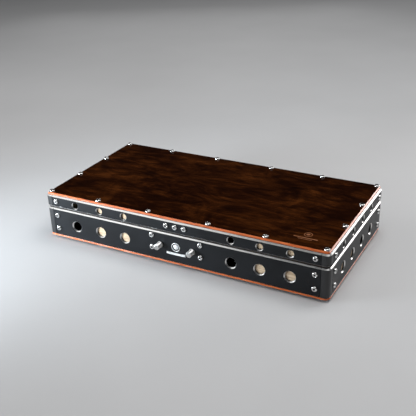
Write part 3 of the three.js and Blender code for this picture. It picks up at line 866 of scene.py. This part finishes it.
# A leaf is an eased slab flat on the back wall, knuckles about the pin, and the webs that join them.
def makeHinges(shape):
    axisZ = floorUnderCase + shape["axisHeight"] * mm
    leaf = shape["leaf"]
    rings = [(1.2, 0), (0.25, 0), (0, 0.25), (0, leaf - 0.35), (0.35, leaf), (1.2, leaf)]
    slab = slabPatches(shape["width"] * mm, (shape["far"] - shape["near"]) * mm, shape["cornerRadius"] * mm,
                       np.array(rings) * mm, 6)
    end, head, ease = shape["pinEnd"], shape["pinHead"], shape["pinHeadEase"]
    half = [(0, shape["pinHeadEnd"]), (head - ease, shape["pinHeadEnd"]), (head, shape["pinHeadEnd"] - ease),
            (head, end), (shape["pinRadius"], end)]
    rodProfile = [(r, -h) for r, h in half] + half[::-1]
    for side, middle in (("left", shape["x"]), ("right", -shape["x"])):
        for body, up in (("base", -1), ("lid", 1)):
            centreZ = axisZ + up * (shape["far"] + shape["near"]) / 2 * mm
            patches = carried(slab, lambda points: onWall("back", np.stack([
                points[:, 0] + middle * mm, -shape["leafGap"] * mm - points[:, 2], points[:, 1] + centreZ,
            ], axis=-1)))
            for x0, x1 in shape[body + "Knuckles"]:
                patches += knucklePatches(shape, middle, x0, x1, axisZ, up)
            piece = buildPiece(f"hinge_{side}_{body}_plate", patches, [zincFinish])
            settle(piece, body, "zinc_steel", f"hinge_{side}_{body}_leaf")
            spots = [(middle + x, shape["axisHeight"] + up * z)
                     for x in shape["screwX"] for z in shape["screwRows"]]
            screwSet(f"hinge_{side}_{body}_screws", wallScrews("back", spots, (shape["leafGap"] + leaf) * mm),
                     body, size="small")
        place = onWall("back", np.array([middle * mm, -shape["axisOut"] * mm, axisZ]))
        turned = turnedPatch(rodProfile, (1, 0, 0), place, 32)
        rod = buildPiece(f"hinge_{side}_rod", [turned], [stainlessFinish])
        settle(rod, "base", "stainless", f"hinge_{side}_pin")


# One knuckle: a tube about the pin, (x, -out + r cos a, r sin a), and the web that joins it to its leaf.
def knucklePatches(shape, middle, x0, x1, axisZ, up):
    a = np.linspace(0, 2 * math.pi, 48, endpoint=False)
    barrel, bore, ease = shape["barrel"], shape["bore"], shape["knuckleEase"]
    x = np.array([x0, x0 + ease, x1 - ease, x1, x1, x0, x0]) + middle
    radius = np.array([barrel - ease, barrel, barrel, barrel - ease, bore, bore, barrel - ease])
    axis = np.array([0, 0, axisZ])
    tube = np.stack([np.broadcast_to(x, (48, 7)), -shape["axisOut"] + np.outer(np.cos(a), radius),
                     np.outer(np.sin(a), radius)], axis=-1) * mm + axis
    inner, outer = -shape["leafGap"], -(shape["leafGap"] + shape["leaf"])
    far, near = (up * z for z in shape["web"])
    web = np.array([[(s + middle, outer, far), (s + middle, inner, far), (s + middle, inner, near),
                     (s + middle, outer, near)] for s in (x0, x1)]) * mm + axis
    return carried([gridPatch(tube, wrapRows=True), *barPatches(web)], lambda points: onWall("back", points))


makeHinges(hingeShape)
print("stage: hinges")


woodShape = {"railEdge": 1.0, "railCorner": 4, "bearerCorner": 1.5, "blockEdge": 0.6, "blockCorner": 1.2}


# A wooden board over a CAD board's box, with rounded edges; across is the axis it is thin along.
def boardOver(node, body, slotName, finish, across, corner, edge):
    lowest, highest, size = nodeBox(node)
    centre = (lowest + highest) / 2
    order = {2: [0, 1, 2], 1: [0, 2, 1], 0: [1, 2, 0]}[across]
    width, depth, thick = size[order]
    lowRound = [(edge * (1 - math.sin(v)), edge * (1 - math.cos(v))) for v in np.linspace(0, math.pi / 2, 5)]
    rings = lowRound + [(inset, thick - height) for inset, height in reversed(lowRound)]
    shift = np.where(np.arange(3) == across, lowest, centre)
    back = np.argsort(order)           # from the slab's own axes to the case's
    patches = carried(slabPatches(width, depth, corner, rings, 5), lambda points: points[:, back] + shift)
    board = buildPiece(f"{node}_board", patches, [finish], 40)
    return settle(board, body, slotName, node)


def makeWood(shape):
    railCorner, bearerCorner, blockCorner, railEdge, blockEdge = (
        shape[key] * mm for key in ("railCorner", "bearerCorner", "blockCorner", "railEdge", "blockEdge"))
    for i in range(1, 5):
        boardOver(f"deck_rail_{i}", "base", "deck_ply", birchDeckFinish, 2, railCorner, railEdge)
    for side in ("left", "right"):
        for name, body, across, corner, edge in (
            (f"deck_bearer_{side}", "base", 2, bearerCorner, railEdge),
            (f"base_block_side_{side}", "base", 0, blockCorner, blockEdge),
            (f"base_block_front_{side}", "base", 1, blockCorner, blockEdge),
            (f"base_hinge_block_{side}", "base", 1, blockCorner, blockEdge),
            (f"lid_block_front_{side}", "lid", 1, blockCorner, blockEdge),
            (f"lid_hinge_block_{side}", "lid", 1, blockCorner, blockEdge),
        ):
            boardOver(name, body, "pale_ply", birchBlockFinish, across, corner, edge)


makeWood(woodShape)


# CAD nodes that keep their own shape get their finish here.
def wear(node, finish):
    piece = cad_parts[node]
    piece.data.materials.clear()
    piece.data.materials.append(finish)


wear("latch_housing", housingFinish)
wear("striker_bracket", zincFinish)
print("stage: inner wood and fittings")


badgeShape = {
    "ringHeight": 37.5,
    "ringRadius": 9,
    "ringWidth": 1.6,
    "thickness": 1.4,
    "discRadius": 5.2,
    "discStep": 0.3,                   # the disc's rim stands this high before its dome begins
    "barHeight": 23.2,
    "barWidth": 40,
    "barTall": 4.6,
    "barDip": 0.5,
    "barEase": 0.35,
}


# Profile of a flat ring whose upper edges are eased, about the ring's middle radius.
def ringProfile(radius, width, thickness):
    ease = min(width, thickness) * 0.25
    inner, outer = radius - width / 2, radius + width / 2
    return [(inner, 0), (outer, 0), (outer, thickness - ease), (outer - ease, thickness),
            (inner + ease, thickness), (inner, thickness - ease), (inner, 0)]


# The badge: a ring, a domed disc, and a bar whose middle line is z0 + dip ((2x/w)^2 - 0.4).
def makeBadge(shape):
    thick, ease = shape["thickness"], shape["barEase"]
    place = onWall("front", np.array([0, 0, floorUnderCase + shape["ringHeight"] * mm]))
    ring = ringProfile(shape["ringRadius"] - shape["ringWidth"] / 2, shape["ringWidth"], thick)
    rise = np.linspace(0, math.pi / 2, 7)
    disc = [(0, 0), (shape["discRadius"], 0), *((shape["discRadius"] * math.cos(v),
                                                 shape["discStep"] + thick * math.sin(v)) for v in rise)]
    patches = [turnedPatch(profile, outwards["front"], place, 64) for profile in (ring, disc)]
    x = np.linspace(-0.5, 0.5, 41) * shape["barWidth"]
    middle = shape["barHeight"] + shape["barDip"] * ((2 * x / shape["barWidth"]) ** 2 - 0.4)
    half = shape["barTall"] / 2
    section = np.array([(-half, 0), (-half, thick - ease), (-half + ease, thick), (half - ease, thick),
                        (half, thick - ease), (half, 0)])
    points = np.broadcast_arrays(x[:, None], -section[:, 1], middle[:, None] + section[:, 0])
    points = np.stack(points, axis=-1) * mm + np.array([0, 0, floorUnderCase])
    patches += barPatches(onWall("front", points))
    settle(buildPiece("front_badge", patches, [badgeFinish]), "base", "stainless")


# Bars are (distance below the ring's middle, width, height on the board).
markShape = {"x": 242, "y": -104, "ringRadius": 7, "ringWidth": 1.3, "proud": 0.12, "discRadius": 3.4,
             "bars": ((13.5, 44, 2.4), (18.2, 26, 1.3))}


# The lid's inlaid mark: a thin ring round a disc with two plain bars under it, all a little proud.
def makeMark(shape):
    proud = shape["proud"]
    place = np.array([shape["x"] * mm, middleY + shape["y"] * mm, lidTop])
    ring = ringProfile(shape["ringRadius"], shape["ringWidth"], proud)
    disc = [(0, 0), (shape["discRadius"], 0), (shape["discRadius"], proud), (0, proud)]
    patches = [turnedPatch(profile, (0, 0, 1), place, 48) for profile in (ring, disc)]
    for down, width, tall in shape["bars"]:
        x = np.linspace(-0.5, 0.5, 9) * width
        section = np.array([(-tall / 2, 0), (-tall / 2, proud), (tall / 2, proud), (tall / 2, 0)])
        points = np.broadcast_arrays(x[:, None], section[:, 0] - down, section[:, 1])
        patches += barPatches(np.stack(points, axis=-1) * mm + place)
    settle(buildPiece("lid_mark", patches, [markFinish]), "lid", "panel_wood")


makeBadge(badgeShape)
makeMark(markShape)
print("stage: badge and mark")


floorLook = {"size": 12, "roughness": 0.85, "dark": (0.56, 0.56, 0.565), "light": (0.6, 0.6, 0.605)}


def makeFloor(look):
    finish = Finish("pale floor", {"Roughness": look["roughness"]})
    cloud = finish.noise(finish.place(), 2.5, detail=5)
    finish.colour(finish.ramp(cloud, [(0.3, look["dark"]), (0.7, look["light"])]))
    bpy.ops.mesh.primitive_plane_add(size=look["size"], location=(0, 0, 0))
    floor = bpy.context.object
    floor.name = "studio_floor"
    floor.data.materials.append(finish.material)


# Where each soft box stands, what it faces, its width and height, its power in watts, its tint
# and its spread in degrees.
white = (1, 1, 1)
coolWhite = (0.8, 0.91, 1)
studioLights = {
    "overhead_left": ((-1.9, -1.6, 2.4), (0, 0, 0.05), 1.6, 1.1, 9, white, 180),
    "overhead": ((0.6, 0.2, 2.7), (0.1, 0, 0), 2.4, 2.4, 66, white, 180),
    "back_right": ((1.5, 2.2, 1.5), (0.1, 0, 0.05), 1.8, 1.0, 5, white, 180),
    "left": ((-2.0, -0.8, 0.5), (-0.2, -0.1, 0.05), 2.0, 0.8, 8, white, 150),
    "low_left": ((-0.75, -0.72, 0.13), (-0.3, -0.15, 0.05), 0.5, 0.18, 3.2, coolWhite, 70),
    "low_right": ((0.85, 0.95, 0.2), (0.3, 0.05, 0.05), 0.7, 0.3, 0.8, white, 80),
    "rim": ((-1.3, 2.3, 0.3), (0, 0, 0.09), 1.6, 0.25, 1.0, white, 80),
}
roomLight = {"Color": (0.9, 0.95, 1.0, 1), "Strength": 0.025}


# A soft rectangular light that faces a point.
def softLight(name, place, target, width, height, watts, tint, spreadDegrees):
    data = bpy.data.lights.new(name, "AREA")
    data.shape = "RECTANGLE"
    data.size, data.size_y = width, height
    data.energy = watts
    data.color = tint
    data.spread = math.radians(spreadDegrees)
    lamp = bpy.data.objects.new(name, data)
    lamp.location = place
    lamp.visible_camera = False
    lamp.rotation_euler = (Vector(target) - Vector(place)).to_track_quat("-Z", "Y").to_euler()
    bpy.context.scene.collection.objects.link(lamp)


def makeLight():
    world = bpy.data.worlds.new("studio")
    world.use_nodes = True
    fill(world.node_tree.nodes["Background"], roomLight)
    bpy.context.scene.world = world
    for name, look in studioLights.items():
        softLight(name, *look)


cameraLook = {
    "azimuth": 28.812,                 # degrees round from the front towards the right
    "elevation": 25.794,
    "roll": -1.949,
    "unit": 0.29,                      # metres from the case's middle to its outermost top screws
    "distance": 5.14085,               # these three are in that unit
    "slideX": -0.03388,
    "slideY": -0.13338,
    "screwPlane": 0.09445,             # the top screws' seat above the bottom panel's underside
    "lens": 64.86,
}


# The camera looks down on the case's top centre from its front right, at the angles above.
def makeCamera(look):
    azimuth, elevation, roll = (math.radians(look[key]) for key in ("azimuth", "elevation", "roll"))
    back = Vector((math.sin(azimuth) * math.cos(elevation), -math.cos(azimuth) * math.cos(elevation),
                   math.sin(elevation)))
    right = Vector((math.cos(azimuth), math.sin(azimuth), 0))
    up = back.cross(right)
    rightRolled = right * math.cos(roll) + up * math.sin(roll)
    upRolled = up * math.cos(roll) - right * math.sin(roll)
    place = rightRolled * look["slideX"] + upRolled * look["slideY"] + back * look["distance"]
    data = bpy.data.cameras.new("camera")
    data.lens = look["lens"]
    data.sensor_width = 36
    camera = bpy.data.objects.new("camera", data)
    matrix = camera.matrix_world.copy()
    for column, axis in enumerate((rightRolled, upRolled, back)):
        matrix.col[column][:3] = axis
    matrix.col[3][:3] = place * look["unit"] + Vector((0, middleY, floorUnderCase + look["screwPlane"]))
    camera.matrix_world = matrix
    bpy.context.scene.collection.objects.link(camera)
    bpy.context.scene.camera = camera


makeFloor(floorLook)
makeLight()
makeCamera(cameraLook)
bpy.context.scene.view_settings.view_transform = "Standard"
print("stage: floor, light and camera")
